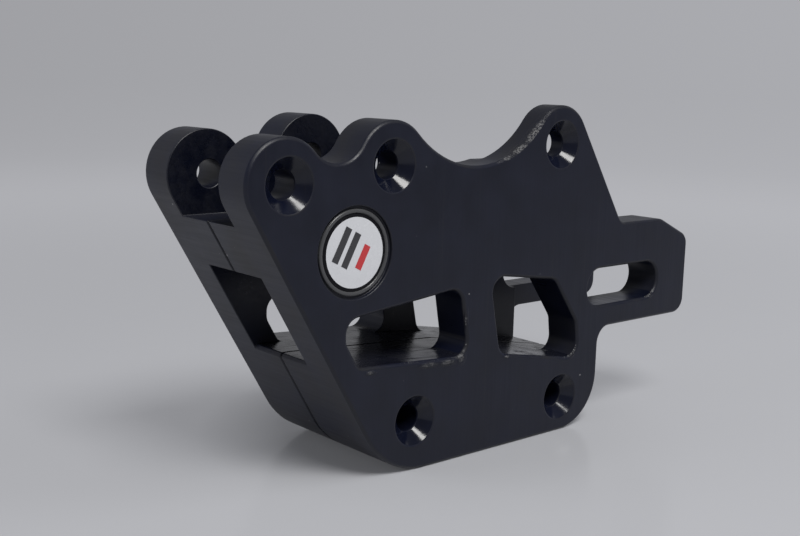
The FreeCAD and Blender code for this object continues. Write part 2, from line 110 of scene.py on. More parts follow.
class PlasticSettings(bpy.types.PropertyGroup):
    """Satin black polyethylene of the two halves."""
    dark: colour_property("Dark", "Darkest tone of the flat faces", (0.0034, 0.0046, 0.0120))
    light: colour_property("Light", "Lightest tone of the flat faces", (0.0060, 0.0076, 0.0180))
    milled: colour_property("Milled", "Tone of the milled sides", (0.0125, 0.0128, 0.0170))
    edge: colour_property("Edge", "Tone of the rubbed edges", (0.0130, 0.0134, 0.0175))
    torn: colour_property("Torn", "Tone of the torn spots", (0.150, 0.150, 0.155))
    dust: colour_property("Dust", "Tone of the dust specks", (0.30, 0.30, 0.31))
    rounding: length_property("Rounding", "Width of the rounding on sharp edges", 0.00022)
    joint: length_property("Joint", "Width of the break on each side of the joint", 0.00046)
    recess: length_property("Recess", "Width of the rounding on the badge's recess", 0.00055)
    rough: factor_property("Roughness", "Roughness of the flat faces", 0.44)
    milled_rough: factor_property("Milled roughness", "Roughness of the milled sides", 0.46)
    drilled_rough: factor_property("Drilled roughness", "Roughness of the screw holes", 0.15)
    cut_rough: factor_property("Cut roughness", "Roughness of the windows' sides", 0.34)
    slid_rough: factor_property("Slid roughness", "Roughness of the tunnel's floor", 0.23)


class BadgeSettings(bpy.types.PropertyGroup):
    """Round badge in the outer half's recess."""
    field: colour_property("Field", "Colour of the badge's field", (0.62, 0.63, 0.66))
    rim: colour_property("Rim", "Colour of the badge's dark rim", (0.0045, 0.0045, 0.0065))
    lip: colour_property("Lip", "Colour of the rounded lip round the rim", (0.060, 0.061, 0.065))
    bar: colour_property("Bars", "Colour of the dark bars", (0.030, 0.030, 0.034))
    accent: colour_property("Accent", "Colour of the accent bar", (0.50, 0.030, 0.035))
    rim_width: length_property("Rim width", "Width of the rim with its lip", 0.00195)
    lip_width: length_property("Lip width", "Width of the rounded lip", 0.00105)
    dome: length_property("Dome", "Rise of the clear dome, which stops short of the lip", 0.00022)
    bar_width: length_property("Bar width", "Width of a bar", 0.0019)
    bar_pitch: length_property("Bar pitch", "Step from one bar to the next", 0.0031)


class BurrSettings(bpy.types.PropertyGroup):
    """Small burrs that the cutter left on the rims of the windows and the slot."""
    tone: colour_property("Tone", "Colour of the torn plastic", (0.20, 0.20, 0.208))
    size: length_property("Size", "Reach of a large burr, before its run's scale", 0.00034)
    spacing: length_property("Spacing", "Step from one burr to the next", 0.0007)
    depth: length_property("Depth", "How far behind the face the burrs sit", 0.00042)
    seed: IntProperty(name="Seed", description="Pattern of the burrs", default=7, min=0)


class StageSettings(bpy.types.PropertyGroup):
    """Table, backdrop, lamps and camera."""
    floor: colour_property("Floor", "Colour of the table", (0.445, 0.451, 0.477))
    left: colour_property("Backdrop left", "Colour of the backdrop's left", (0.385, 0.388, 0.410))
    right: colour_property("Backdrop right", "Colour of the backdrop's right", (0.455, 0.460, 0.488))
    front: colour_property("Front", "Colour of the wall on the camera's side", (0.165, 0.166, 0.176))
    flat: length_property("Flat", "Radius of the flat floor", 1.0)
    sweep: length_property("Sweep", "Radius of the curve up to the wall", 0.6)
    height: length_property("Height", "Height of the wall", 0.9)
    sky: FloatProperty(name="Sky", description="Strength of the even light from all round",
                       default=0.17, min=0.0)
    key: power_property("Key lamp", "Power of the small lamp above the front", 6.6)
    side: power_property("Side lamp", "Power of the wide lamp at the right", 2.8)
    fill: power_property("Fill lamp", "Power of the low lamp behind the left end", 2.2)
    lens: FloatProperty(name="Lens", description="Focal length in millimetres", default=50.33, min=1.0)
    place: FloatVectorProperty(name="Camera", description="Where the camera stands", size=3,
                               default=(-0.21442, -0.22633, 0.09985), subtype="TRANSLATION",
                               unit="LENGTH")
    yaw: angle_property("Yaw", "Turn of the view from +Y towards +X", 41.0)
    pitch: angle_property("Pitch", "Tilt of the view below the horizon", 9.775)
    roll: angle_property("Roll", "Roll of the camera", -1.43)


class GuideSettings(bpy.types.PropertyGroup):
    """All settings of the chain guide."""
    plastic: PointerProperty(type=PlasticSettings)
    badge: PointerProperty(type=BadgeSettings)
    burrs: PointerProperty(type=BurrSettings)
    stage: PointerProperty(type=StageSettings)


# Material helpers

def shade(colour, share):
    """A darker tone of a colour."""
    return tuple(channel * share for channel in colour)


class Shader:
    """Short ways to build a material's node tree."""

    def __init__(self, name):
        self.material = bpy.data.materials.new(name)
        self.material.use_nodes = True
        self.tree = self.material.node_tree
        self.tree.nodes.clear()
        self.output = self.tree.nodes.new("ShaderNodeOutputMaterial")
        self.where = self.tree.nodes.new("ShaderNodeTexCoord").outputs["Object"]

    def link(self, source, target):
        self.tree.links.new(source, target)

    def node(self, kind, **settings):
        made = self.tree.nodes.new(kind)
        for key, value in settings.items():
            setattr(made, key, value)
        return made

    def stretched(self, scale, turn=(0.0, 0.0, 0.0), shift=(0.0, 0.0, 0.0), vector=None):
        """Object coordinates, or another vector, scaled, then turned, then moved."""
        mapping = self.node("ShaderNodeMapping")
        mapping.inputs["Location"].default_value = shift
        mapping.inputs["Rotation"].default_value = turn
        mapping.inputs["Scale"].default_value = scale
        self.link(self.where if vector is None else vector, mapping.inputs["Vector"])
        return mapping.outputs["Vector"]

    def length(self, vector):
        made = self.node("ShaderNodeVectorMath", operation="LENGTH")
        self.link(vector, made.inputs[0])
        return made.outputs["Value"]

    def noise(self, vector, scale, detail=3.0, rough=0.55):
        texture = self.node("ShaderNodeTexNoise")
        texture.inputs["Scale"].default_value = scale
        texture.inputs["Detail"].default_value = detail
        texture.inputs["Roughness"].default_value = rough
        self.link(vector, texture.inputs["Vector"])
        return texture.outputs["Fac"]

    def ramp(self, source, span, result=(0.0, 1.0)):
        """Map a span of values to a result's two ends, and hold it there beyond them."""
        made = self.node("ShaderNodeMapRange", clamp=True)
        for name, value in zip(("From Min", "From Max", "To Min", "To Max"), (*span, *result)):
            made.inputs[name].default_value = value
        self.link(source, made.inputs["Value"])
        return made.outputs["Result"]

    def maths(self, operation, one, two):
        """Work on two values; a value is a socket or a number."""
        made = self.node("ShaderNodeMath", operation=operation)
        for socket, value in zip(made.inputs, (one, two)):
            if isinstance(value, (int, float)):
                socket.default_value = value
            else:
                self.link(value, socket)
        return made.outputs["Value"]

    def blend(self, factor, one, two):
        """Mix two colours; a colour is a socket or three numbers."""
        made = self.node("ShaderNodeMix", data_type="RGBA")
        self.link(factor, made.inputs["Factor"])
        sockets = [socket for socket in made.inputs if socket.type == "RGBA"]
        for socket, value in zip(sockets, (one, two)):
            if isinstance(value, bpy.types.NodeSocket):
                self.link(value, socket)
            else:
                socket.default_value = (*value, 1.0)
        return next(socket for socket in made.outputs if socket.type == "RGBA")

    def bump(self, height, strength, distance, normal=None):
        made = self.node("ShaderNodeBump")
        made.inputs["Strength"].default_value = strength
        made.inputs["Distance"].default_value = distance
        self.link(height, made.inputs["Height"])
        if normal:
            self.link(normal, made.inputs["Normal"])
        return made.outputs["Normal"]

    def surface(self, colour, rough, normal=None, **constants):
        """A Principled surface. An underscore in a constant's name stands for a space."""
        made = self.node("ShaderNodeBsdfPrincipled")
        self.link(colour, made.inputs["Base Color"])
        self.link(rough, made.inputs["Roughness"])
        if normal:
            self.link(normal, made.inputs["Normal"])
        for key, value in constants.items():
            made.inputs[key.replace("_", " ")].default_value = value
        return made.outputs["BSDF"]

    def end(self, surface):
        """Give the surface to the output and finish the material."""
        self.link(surface, self.output.inputs["Surface"])
        return self.material


# Finishes of the plastic

# Streaks run long in one direction, and scratches run long and lean over.
STREAK_SQUASH = 0.03
STREAKS_UP = (1.0, 1.0, STREAK_SQUASH)
STREAKS_ACROSS = (1.0, STREAK_SQUASH, 1.0)
NO_STREAKS = (1.0, 1.0, 1.0)
SCRATCH_RUN = (1.0, 1.0, 0.012)
SCRATCH_TURN = (0.0, math.radians(24.0), 0.0)
SCRATCH_SHARE = 0.35
MOTTLE_SPAN = (0.35, 0.70)
MOTTLE_GLOSS = (-0.03, 0.04)
# A torn spot is whole up to the first share of its reach and gone at the second.
SPOT_FADE = (0.45, 1.0)
# Places where the cutter tore the plastic: the middle and the reach in each direction, in millimetres.
TORN_RIMS = (
    ((-15.2, -22.2, 27.4), (2.0, 1.2, 2.2)),
    ((-20.0, -22.4, 26.9), (4.2, 0.8, 1.0)),
    ((-26.5, -22.5, 27.2), (4.4, 0.7, 0.9)),
    ((-45.8, -22.4, 28.1), (2.2, 0.8, 0.7)),
    ((-13.6, -22.2, 38.0), (0.8, 0.5, 4.0)),
    ((28.8, -22.2, 22.4), (1.9, 1.2, 1.7)),
    ((2.4, -22.4, 25.2), (2.0, 0.8, 0.6)),
    ((64.3, -22.2, 35.6), (1.8, 1.0, 1.3)),
)
TORN_EAR = (
    ((9.2, -22.5, 86.6), (8.5, 3.4, 8.5)),
    ((3.5, -22.5, 81.8), (6.0, 2.8, 3.6)),
    ((-1.5, -22.5, 79.6), (5.0, 1.8, 2.0)),
)


def dusted(shader, tone, dust):
    """Scatter small specks of dust over a tone, in patches."""
    cells = shader.node("ShaderNodeTexVoronoi", feature="F1")
    cells.inputs["Scale"].default_value = 260.0
    shader.link(shader.where, cells.inputs["Vector"])
    speck = shader.ramp(cells.outputs["Distance"], span=(0.045, 0.075), result=(1.0, 0.0))
    patch = shader.ramp(shader.noise(shader.where, scale=45.0, detail=2.0), span=(0.60, 0.66))
    return shader.blend(shader.maths("MULTIPLY", speck, patch), tone, dust)


def torn_spot(shader, centre, reach):
    """One inside an egg-shaped spot, fading to nothing at its skin."""
    scale = tuple(1.0 / (length * MM) for length in reach)
    shift = tuple(-place / length for place, length in zip(centre, reach))
    return shader.ramp(shader.length(shader.stretched(scale, shift=shift)), SPOT_FADE, result=(1.0, 0.0))


def torn(shader, tone, normal, spots, colour):
    """Tear the plastic in some spots: give back a tone with pale fibres and a ragged normal."""
    fibres = shader.noise(shader.where, scale=1900.0, detail=4.0, rough=0.75)
    place = 0.0
    for centre, reach in spots:
        place = shader.maths("MAXIMUM", place, torn_spot(shader, centre, reach))
    ragged = shader.maths("MULTIPLY", place, fibres)
    tone = shader.blend(shader.ramp(ragged, span=(0.43, 0.58)), tone, colour)
    return tone, shader.bump(ragged, strength=0.9, distance=0.5 * MM, normal=normal)


def plastic(name, settings, tones, rough, streak_run, torn_spots=(), torn_share=1.0, index=1.46,
            streak_depth=0.06):
    """Black plastic with cutter streaks along one direction, mottling, fine scratches and dust."""
    shader = Shader(name)
    mottle = shader.noise(shader.where, scale=90.0, detail=4.0)
    streak = shader.noise(shader.stretched(streak_run), scale=1500.0, detail=2.0)
    grain = shader.noise(shader.where, scale=4200.0, detail=2.0)
    scratch = shader.noise(shader.stretched(SCRATCH_RUN, SCRATCH_TURN), scale=900.0, detail=1.0)
    scratched = shader.maths("MULTIPLY", shader.ramp(scratch, span=(0.70, 0.76)), SCRATCH_SHARE)
    tone = shader.blend(shader.ramp(mottle, MOTTLE_SPAN), *tones)
    tone = shader.blend(scratched, tone, settings.edge)
    tone = dusted(shader, tone, settings.dust)
    gloss = shader.ramp(streak, span=(0.30, 0.70), result=(rough - streak_depth, rough + streak_depth))
    gloss = shader.maths("ADD", gloss, shader.ramp(mottle, MOTTLE_SPAN, MOTTLE_GLOSS))
    normal = shader.bump(streak, strength=0.10, distance=0.06 * MM)
    normal = shader.bump(grain, strength=0.10, distance=0.05 * MM, normal=normal)
    if torn_spots:
        tone, normal = torn(shader, tone, normal, torn_spots, shade(settings.torn, torn_share))
    return shader.end(shader.surface(tone, gloss, normal, IOR=index))


# The tunnel's floor: how far its scores waver, how long they run, and how much rougher they are.
SCORE_WAVER = (0.0, 4.0 * MM, 0.0)
SCORE_RUN = (0.035, 1.0, 1.0)
SCORE_ROUGH = 0.20


def slid_plastic(name, settings):
    """The tunnel's floor, burnished by the chain and scored along its run."""
    shader = Shader(name)
    mottle = shader.noise(shader.where, scale=160.0, detail=4.0)
    waver = shader.node("ShaderNodeCombineXYZ")
    shader.link(shader.noise(shader.where, scale=60.0, detail=1.0), waver.inputs["Y"])
    shifted = shader.node("ShaderNodeVectorMath", operation="MULTIPLY_ADD")
    shader.link(waver.outputs["Vector"], shifted.inputs[0])
    shifted.inputs[1].default_value = SCORE_WAVER
    shader.link(shader.where, shifted.inputs[2])
    run = shader.stretched(SCORE_RUN, vector=shifted.outputs["Vector"])
    score = shader.noise(run, scale=1100.0, detail=2.0, rough=0.6)
    scored = shader.ramp(score, span=(0.58, 0.68))
    tone = shader.blend(mottle, settings.dark, settings.milled)
    tone = shader.blend(scored, tone, shade(settings.dark, 0.5))
    gloss = shader.ramp(mottle, span=(0.30, 0.70),
                        result=(settings.slid_rough - 0.05, settings.slid_rough + 0.07))
    gloss = shader.maths("ADD", gloss, shader.maths("MULTIPLY", scored, SCORE_ROUGH))
    normal = shader.bump(score, strength=0.12, distance=0.2 * MM)
    return shader.end(shader.surface(tone, gloss, normal, IOR=1.36))


def sawn_plastic_painted_shade(name, settings):
    """The rough inner faces of the fork: dark with painted shade, pitted and full of small glints."""
    shader = Shader(name)
    pits = shader.noise(shader.where, scale=700.0, detail=5.0, rough=0.65)
    swirl = shader.noise(shader.stretched((1.0, 1.0, 0.75)), scale=300.0, detail=3.0)
    # Painted shade: the tone stays at or under the flat faces' darkest tone, and the pits fall to a third
    # of it.
    tone = shader.blend(pits, shade(settings.dark, 0.35), settings.dark)
    gloss = shader.ramp(swirl, span=(0.35, 0.65), result=(0.22, 0.48))
    normal = shader.bump(swirl, strength=0.30, distance=0.7 * MM)
    normal = shader.bump(pits, strength=0.40, distance=0.3 * MM, normal=normal)
    return shader.end(shader.surface(tone, gloss, normal, IOR=1.42))


def enamel(name, colour, rough, grain=0.06, coat=0.5, index=1.5):
    """Mottled plastic or printed enamel, with or without a clear coat."""
    shader = Shader(name)
    cloud = shader.noise(shader.where, scale=420.0, detail=3.0)
    tone = shader.blend(cloud, shade(colour, 1.0 - grain), colour)
    gloss = shader.ramp(cloud, span=(0.3, 0.7), result=(rough - 0.04, rough + 0.04))
    return shader.end(shader.surface(tone, gloss, IOR=index, Coat_Weight=coat, Coat_Roughness=0.15))


# Mesh helpers

def add_piece(name, mesh):
    """Put a mesh in the scene as a piece of the guide."""
    piece = bpy.data.objects.new(name, mesh)
    bpy.context.scene.collection.objects.link(piece)
    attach(piece, BODY)
    return piece


def turned(name, profile, count):
    """A mesh turned about Z. The profile is pairs of radius and height."""
    build = bmesh.new()
    rings = []
    for radius, height in profile:
        if radius == 0.0:
            rings.append([build.verts.new((0.0, 0.0, height))])
            continue
        ring = []
        for step in range(count):
            angle = 2 * math.pi * step / count
            ring.append(build.verts.new((radius * math.cos(angle), radius * math.sin(angle), height)))
        rings.append(ring)
    for inner, outer in zip(rings, rings[1:]):
        for step in range(count):
            after = (step + 1) % count
            corners = [inner[step % len(inner)], inner[after % len(inner)],
                       outer[after % len(outer)], outer[step % len(outer)]]
            build.faces.new(list(dict.fromkeys(corners)))
    bmesh.ops.recalc_face_normals(build, faces=build.faces)
    mesh = bpy.data.meshes.new(name)
    build.to_mesh(mesh)
    build.free()
    return mesh


def made_by_nodes(name, tree, inputs, source=None):
    """Run a node tree with the given inputs and give its result as a plain mesh."""
    carrier = bpy.data.objects.new(name + "_carrier", source or bpy.data.meshes.new(name))
    bpy.context.scene.collection.objects.link(carrier)
    modifier = carrier.modifiers.new("Nodes", "NODES")
    modifier.node_group = tree
    sockets = {item.name: item.identifier for item in tree.interface.items_tree
               if item.item_type == "SOCKET" and item.in_out == "INPUT"}
    for key, value in inputs.items():
        modifier[sockets[key]] = value
    graph = bpy.context.evaluated_depsgraph_get()
    mesh = bpy.data.meshes.new_from_object(carrier.evaluated_get(graph))
    carrier.modifiers.remove(modifier)
    bpy.data.objects.remove(carrier)
    mesh.name = name
    return mesh


class Tree:
    """Short ways to build a geometry node tree."""

    def __init__(self, name, inputs):
        self.tree = bpy.data.node_groups.new(name, "GeometryNodeTree")
        self.tree.interface.new_socket("Geometry", in_out="INPUT", socket_type="NodeSocketGeometry")
        for label, kind in inputs:
            self.tree.interface.new_socket(label, in_out="INPUT", socket_type=kind)
        self.tree.interface.new_socket("Geometry", in_out="OUTPUT", socket_type="NodeSocketGeometry")
        self.given = self.tree.nodes.new("NodeGroupInput").outputs
        self.result = self.tree.nodes.new("NodeGroupOutput").inputs["Geometry"]

    def node(self, kind, values=None, **settings):
        """Add a node. A value is a socket to link or a constant, by its input's name or number."""
        made = self.tree.nodes.new(kind)
        for key, value in settings.items():
            setattr(made, key, value)
        for key, value in (values or {}).items():
            if isinstance(value, bpy.types.NodeSocket):
                self.tree.links.new(value, made.inputs[key])
            else:
                made.inputs[key].default_value = value
        return made

    def end(self, geometry):
        """Realize what is instanced, give it the material and finish the tree."""
        real = self.node("GeometryNodeRealizeInstances", {"Geometry": geometry})
        painted = self.node("GeometryNodeSetMaterial", {"Geometry": real.outputs["Geometry"],
                                                        "Material": self.given["Material"]})
        self.tree.links.new(painted.outputs["Geometry"], self.result)
        return self.tree


# The halves

# Finishes, in the order of their material slots.
FLAT, RUBBED, MILLED, DRILLED, CUT, SLID, SAWN_PAINTED_SHADE = range(7)
# Corners within WELD are one, facets within LEVEL are joined, and edges over SHARP are rounded.
WELD = 0.002 * MM
LEVEL = math.radians(0.4)
SHARP = math.radians(25.0)
ROUNDING_STEPS = 2
# A facet faces a direction when its normal's share along it is over FACES, and runs along it when
# that share is under RUNS_ALONG.
FACES = 0.9
RUNS_ALONG = 0.3
# Limits between the finishes: a countersink lies within HOLE_REACH of its axis, the tunnel's floor
# between FLOOR_HEIGHTS, the inner faces within INNER_REACH of the joint, the fork's faces above
# FORK_FLOOR, and a cutout's sides within CUT_GAP of its opening's box.
HOLE_REACH = 6.9 * MM
FLOOR_HEIGHTS = (17.0 * MM, 33.0 * MM)
INNER_REACH = 12.5 * MM
FORK_FLOOR = 60.0 * MM
CUT_GAP = 4.2 * MM
# The recess's rim lies within RECESS_GAP of the badge.
RECESS_GAP = 0.5 * MM


def in_cutout(place, cutouts):
    """Whether a place lies in or beside a window or a slot."""
    return any(low[0] - CUT_GAP < place.x < high[0] + CUT_GAP
               and low[2] - CUT_GAP < place.z < high[2] + CUT_GAP for low, high in cutouts)


def finish_of(facet, holes, cutouts):
    """Which finish a facet has, from where it is and how it faces."""
    facing, place = facet.normal, facet.calc_center_median()
    near_hole = any(math.hypot(place.x - x, place.z - z) < HOLE_REACH for x, z in holes)
    if near_hole and abs(facing.y) < FACES:
        return DRILLED if abs(facing.y) > RUNS_ALONG else CUT
    if facing.z > FACES and FLOOR_HEIGHTS[0] < place.z < FLOOR_HEIGHTS[1]:
        return SLID
    if abs(facing.y) < RUNS_ALONG:
        return CUT if in_cutout(place, cutouts) else MILLED
    if abs(facing.y) < FACES:
        return RUBBED
    if abs(place.y) > INNER_REACH:
        return FLAT
    # The fork's inner faces take the sawn finish, darkened as painted shade.
    return SAWN_PAINTED_SHADE if place.z > FORK_FLOOR else CUT


def rounding_of(line, settings, badge):
    """How wide a sharp edge is rounded, from where it is."""
    places = [corner.co for corner in line.verts]
    if all(abs(place.y) < WELD for place in places):
        return settings.joint
    low, high = badge
    centre, reach = (low + high) / 2, (high.x - low.x) / 2 + RECESS_GAP
    if all(place.y < low.y and math.hypot(place.x - centre.x, place.z - centre.z) < reach
           for place in places):
        return settings.recess
    return settings.rounding


def rounded(mesh, width, joint):
    """Round the weighted edges, paint shade into the joint's groove, and keep the shading of the faces
    beside them.
    """
    carrier = bpy.data.objects.new("rounding_carrier", mesh)
    bpy.context.scene.collection.objects.link(carrier)
    rounding = carrier.modifiers.new("Rounding", "BEVEL")
    rounding.limit_method = "WEIGHT"
    rounding.width = width
    rounding.use_clamp_overlap = False
    rounding.segments = ROUNDING_STEPS
    rounding.material = RUBBED
    graph = bpy.context.evaluated_depsgraph_get()
    result = bpy.data.meshes.new_from_object(carrier.evaluated_get(graph))
    bpy.data.objects.remove(carrier)
    build = bmesh.new()
    build.from_mesh(result)
    for line in build.edges:
        kinds = {facet.material_index == RUBBED for facet in line.link_faces}
        line.smooth = len(kinds) == 1
    # Painted shade: the rounding faces along the joint between the halves take the dark sawn finish.
    for facet in build.faces:
        if facet.material_index == RUBBED and abs(facet.calc_center_median().y) < joint:
            facet.material_index = SAWN_PAINTED_SHADE
    build.to_mesh(result)
    build.free()
    return result


def half_finishes(settings):
    """The finishes of a half, in the order of their slots."""
    flat, edge = (settings.dark, settings.light), (settings.light, settings.edge)
    side = (settings.light, settings.milled)
    return (
        plastic("satin_black", settings, flat, settings.rough, STREAKS_UP, torn_spots=TORN_RIMS,
                torn_share=0.5, index=1.44),
        plastic("rubbed_black", settings, edge, settings.rough, STREAKS_ACROSS,
                torn_spots=TORN_RIMS + TORN_EAR, index=1.42),
        plastic("milled_black", settings, side, settings.milled_rough, STREAKS_ACROSS,
                torn_spots=TORN_EAR, index=1.48, streak_depth=0.035),
        plastic("drilled_black", settings, flat, settings.drilled_rough, NO_STREAKS, index=1.42,
                streak_depth=0.03),
        plastic("cut_black", settings, flat, settings.cut_rough, STREAKS_ACROSS, index=1.38),
        slid_plastic("slid_black", settings),
        sawn_plastic_painted_shade("sawn_black_painted_shade", settings))


def half_mesh(source, finishes, settings, badge):
    """A copy of a half with its facets sorted into finishes and its sharp edges rounded."""
    record = frame["record"]
    holes = [(mount["pos_m"][0], mount["pos_m"][2]) for mount in record["mounts"]
             if mount["kind"] == "bore"]
    cutouts = [opening["box_m"] for opening in record["physics"]["openings"]
               if opening["name"].endswith(("window_one", "window_two", "slot"))]
    widest = max(settings.rounding, settings.joint, settings.recess)
    mesh = source.copy()
    # The slots come first, because clearing them sets every facet back to the first finish.
    mesh.materials.clear()
    for finish in finishes:
        mesh.materials.append(finish)
    build = bmesh.new()
    build.from_mesh(mesh)
    bmesh.ops.remove_doubles(build, verts=build.verts, dist=WELD)
    bmesh.ops.dissolve_limit(build, angle_limit=LEVEL, verts=build.verts, edges=build.edges)
    for facet in build.faces:
        facet.smooth = True
        facet.material_index = finish_of(facet, holes, cutouts)
    weight = build.edges.layers.float.new("bevel_weight_edge")
    for line in build.edges:
        if len(line.link_faces) == 2 and line.calc_face_angle() > SHARP:
            line[weight] = rounding_of(line, settings, badge) / widest
    build.to_mesh(mesh)
    build.free()
    return rounded(mesh, widest, settings.joint)


class GUIDE_OT_halves(bpy.types.Operator):
    """Give both halves rounded edges and satin black plastic"""
    bl_idname = "guide.halves"
    bl_label = "Finish the halves"

    def execute(self, context):
        settings = context.scene.guide.plastic
        finishes = half_finishes(settings)
        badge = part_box("badge_disc")
        for node in ("outer_half", "inner_half"):
            mesh = half_mesh(frame["nodes"][node].data, finishes, settings, badge)
            piece = add_piece(node + "_finish", mesh)
            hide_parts(node)
        return {"FINISHED"}


# The badge

# Its finishes, in the order of their material slots.
RIM, FIELD, LIP = range(3)
BADGE_STEPS = 96
LIP_STEPS = 8
DOME_STEPS = 5
# The lip rises to the disc's front. The field dips behind it, and the dome fills up to a share of the dip.
LIP_RISE = 0.40 * MM
FIELD_DIP = 0.12 * MM
DOME_LIMIT = 0.98
BADGE_SHARP = math.radians(30.0)
TO_FRONT = Matrix.Rotation(math.radians(90.0), 4, "X")
# The bars: how far they rise, how deep their middle sits, and how they lean.
BAR_RISE = 0.06 * MM
BAR_SEAT = 0.02 * MM
BAR_LEAN = Matrix.Rotation(math.radians(28.0), 4, "Y")
# How many bars of a kind there are, how long they are, and where the first stands beside the middle.
DARK_BARS = (2, 9.0 * MM, -4.5 * MM)
ACCENT_BAR = (1, 6.2 * MM, 2.6 * MM)


def badge_profile(radius, field_radius, back, front, settings):
    """The badge's section, from the middle of its back round the lip to the middle of its face."""
    profile = [(0.0, back), (radius, back)]
    for step in range(LIP_STEPS + 1):
        angle = math.pi * step / LIP_STEPS
        profile.append((radius - settings.lip_width * (1.0 - math.cos(angle)) / 2,
                        front + LIP_RISE * (1.0 - math.sin(angle))))
    dip = front + FIELD_DIP
    profile += [(field_radius + 2 * FIELD_DIP, dip), (field_radius, dip)]
    for step in range(1, DOME_STEPS + 1):
        share = 1.0 - step / DOME_STEPS
        bulge = settings.dome * (1.0 - share * share)
        profile.append((field_radius * share, dip - min(bulge, FIELD_DIP * DOME_LIMIT)))
    return profile


def badge_mesh(settings, low, high):
    """The badge in the place of its disc, with a dark rim, a rounded lip and a domed field."""
    centre = (low + high) / 2
    radius = (high.x - low.x) / 2
    field_radius = radius - settings.rim_width
    profile = badge_profile(radius, field_radius, high.y, low.y, settings)
    mesh = turned("badge", [(reach, -depth) for reach, depth in profile], BADGE_STEPS)
    mesh.transform(Matrix.Translation((centre.x, 0.0, centre.z)) @ TO_FRONT)
    mesh.materials.append(enamel("badge_rim", settings.rim, rough=0.50, coat=0.0, index=1.25))
    mesh.materials.append(enamel("badge_field", settings.field, rough=0.28))
    mesh.materials.append(enamel("badge_lip", settings.lip, rough=0.30, coat=0.0))
    for facet in mesh.polygons:
        reach = math.hypot(facet.center.x - centre.x, facet.center.z - centre.z)
        facet.material_index = RIM
        if reach > radius - settings.lip_width:
            facet.material_index = LIP
        elif reach < field_radius and facet.center.y < low.y + 2 * FIELD_DIP:
            facet.material_index = FIELD
        facet.use_smooth = True
    mesh.set_sharp_from_angle(angle=BADGE_SHARP)
    return mesh


def bars_tree():
    """Parallel bars, laid in a row."""
    tree = Tree("badge_bars", [("Count", "NodeSocketInt"), ("Pitch", "NodeSocketFloat"),
                               ("Width", "NodeSocketFloat"), ("Length", "NodeSocketFloat"),
                               ("Material", "NodeSocketMaterial")])
    step = tree.node("ShaderNodeCombineXYZ", {"X": tree.given["Pitch"]})
    row = tree.node("GeometryNodeMeshLine", {"Count": tree.given["Count"],
                                             "Offset": step.outputs["Vector"]})
    size = tree.node("ShaderNodeCombineXYZ", {"X": tree.given["Width"], "Y": BAR_RISE * 2,
                                              "Z": tree.given["Length"]})
    bar = tree.node("GeometryNodeMeshCube", {"Size": size.outputs["Vector"]})
    placed = tree.node("GeometryNodeInstanceOnPoints", {"Points": row.outputs["Mesh"],
                                                        "Instance": bar.outputs["Mesh"]})
    return tree.end(placed.outputs["Instances"])


class GUIDE_OT_badge(bpy.types.Operator):
    """Make the badge: a dark rim, a pale field and slanted bars"""
    bl_idname = "guide.badge"
    bl_label = "Make the badge"

    def execute(self, context):
        settings = context.scene.guide.badge
        low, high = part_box("badge_disc")
        piece = add_piece("badge", badge_mesh(settings, low, high))
        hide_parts("badge_disc")
        centre = (low + high) / 2
        seat = Matrix.Translation((centre.x, low.y + BAR_SEAT, centre.z))
        tree = bars_tree()
        for name, colour, (count, length, start) in (("badge_bars", settings.bar, DARK_BARS),
                                                     ("badge_accent", settings.accent, ACCENT_BAR)):
            bars = made_by_nodes(name, tree, {"Count": count, "Pitch": settings.bar_pitch,
                                              "Width": settings.bar_width, "Length": length,
                                              "Material": enamel(name + "_ink", colour, rough=0.30)})
            for move in (Matrix.Translation((start, 0.0, 0.0)), BAR_LEAN, seat):
                bars.transform(move)
            add_piece(name, bars)
        return {"FINISHED"}


# Burrs on the rims of the windows and the slot

BURR_CHANCE = 0.55
# Least and largest shares of a burr's size, along, across and through it.
BURR_LEAST = (0.25, 0.15, 0.15)
BURR_MOST = (1.0, 0.45, 0.45)
# Runs of burrs along the rims: points across the plate, in millimetres, and the burrs' scale.
BURR_RUNS = {
    "window_one_burrs": (((-36.0, 28.8), (-26.0, 28.1), (-17.5, 27.6)), 1.0),
    "window_one_chips": (((-17.5, 27.6), (-15.9, 27.9), (-14.1, 29.0), (-13.3, 30.6)), 1.7),
    "window_two_burrs": (((6.0, 24.8), (16.0, 23.0), (26.5, 21.2)), 0.8),
    "window_two_chips": (((26.5, 21.2), (28.8, 21.6), (30.2, 22.4), (31.2, 24.2)), 1.5),
    "slot_chips": (((62.6, 34.9), (64.4, 35.2), (65.8, 36.6)), 1.3),
}


def burr_tree():
    """Small torn chips, scattered along a path."""
    tree = Tree("rim_burrs", [("Spacing", "NodeSocketFloat"), ("Size", "NodeSocketFloat"),
                              ("Seed", "NodeSocketInt"), ("Material", "NodeSocketMaterial")])
    seed = tree.given["Seed"]
    path = tree.node("GeometryNodeMeshToCurve", {"Mesh": tree.given["Geometry"]})
    dots = tree.node("GeometryNodeResampleCurve", {"Curve": path.outputs["Curve"],
                                                   "Length": tree.given["Spacing"]}, mode="LENGTH")
    chance = tree.node("FunctionNodeRandomValue", {"Probability": BURR_CHANCE, "Seed": seed},
                       data_type="BOOLEAN")
    chip = tree.node("GeometryNodeMeshIcoSphere", {"Radius": 1.0, "Subdivisions": 1})
    turn = tree.node("FunctionNodeRandomValue", {"Max": (math.tau, math.tau, math.tau), "Seed": seed},
                     data_type="FLOAT_VECTOR")
    size = tree.node("FunctionNodeRandomValue", {"Min": BURR_LEAST, "Max": BURR_MOST, "Seed": seed},
                     data_type="FLOAT_VECTOR")
    scaled = tree.node("ShaderNodeVectorMath", {0: size.outputs["Value"], "Scale": tree.given["Size"]},
                       operation="SCALE")
    placed = tree.node("GeometryNodeInstanceOnPoints", {
        "Points": dots.outputs["Curve"], "Selection": chance.outputs["Value"],
        "Instance": chip.outputs["Mesh"], "Rotation": turn.outputs["Value"],
        "Scale": scaled.outputs["Vector"]})
    return tree.end(placed.outputs["Instances"])


